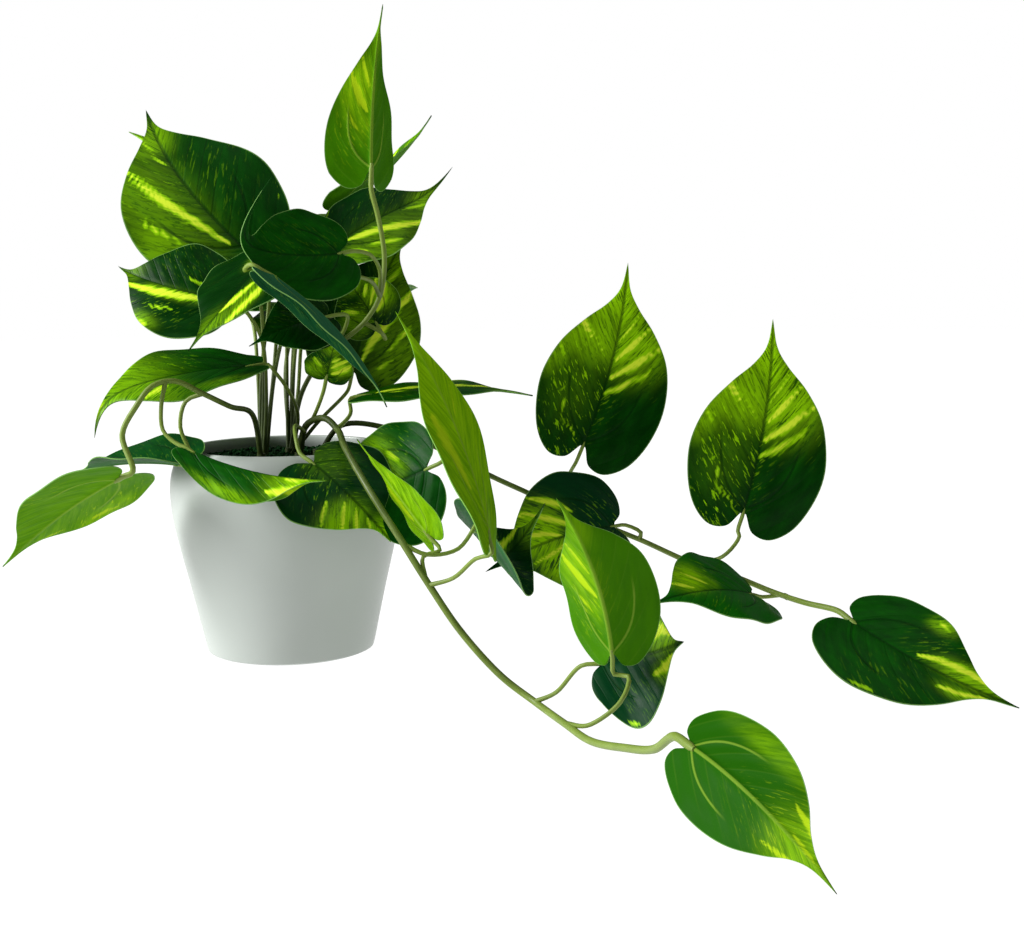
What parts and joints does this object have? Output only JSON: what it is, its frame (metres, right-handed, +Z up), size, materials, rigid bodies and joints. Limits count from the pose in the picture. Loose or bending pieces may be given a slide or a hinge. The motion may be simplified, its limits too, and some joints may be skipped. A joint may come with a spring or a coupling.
{
  "type": "potted trailing philodendron",
  "caption": "Potted trailing foliage plant with heart-shaped variegated leaves on bare stems and a tapered round white pot that stands on a flat base.",
  "frame": {"origin": "centre of the pot's flat base, on the surface it stands on", "axes": "+Z up; +X to the right and +Y to the back as the plant is seen from the front"},
  "size_m": [0.5032, 0.4965, 0.346],
  "materials": {
    "pot": "satin white glaze",
    "soil": "dark crumbly moss over a filled plug",
    "stem": "satin, yellow green to olive",
    "leaf": "satin, dark green streaked with yellow green, paler below"
  },
  "bodies": {
    "root": {"pot": "pot", "soil": "soil", "stems_left": "stem", "stems_right": "stem", "vine_left": "stem", "vine_front": "stem", "vine_right": "stem", "leaf_crown_left": "leaf", "leaf_upper_left": "leaf", "leaf_front_drooping": "leaf", "leaf_front_heart": "leaf", "leaf_folded_right": "leaf", "leaf_under_crown": "leaf", "leaf_arching_left": "leaf", "leaf_top": "leaf", "leaf_top_dark": "leaf", "leaf_top_narrow": "leaf", "leaf_right_dark": "leaf", "leaf_small_mottled": "leaf", "leaf_inner": "leaf", "leaf_behind_crown": "leaf", "leaf_back_one": "leaf", "leaf_back_two": "leaf", "leaf_back_three": "leaf", "leaf_back_four": "leaf", "leaf_back_five": "leaf", "leaf_rim_left": "leaf", "leaf_left_end": "leaf", "leaf_pot_left": "leaf", "leaf_pot_front": "leaf", "leaf_pot_right": "leaf", "leaf_along_vine": "leaf", "leaf_side_long": "leaf", "leaf_tall_bright": "leaf", "leaf_behind_tall": "leaf", "leaf_vine_bright": "leaf", "leaf_vine_low": "leaf", "leaf_vine_end": "leaf", "leaf_upright_near": "leaf", "leaf_upright_far": "leaf", "leaf_right_low": "leaf", "leaf_right_small": "leaf", "leaf_right_end": "leaf"}
  },
  "joints": []
}
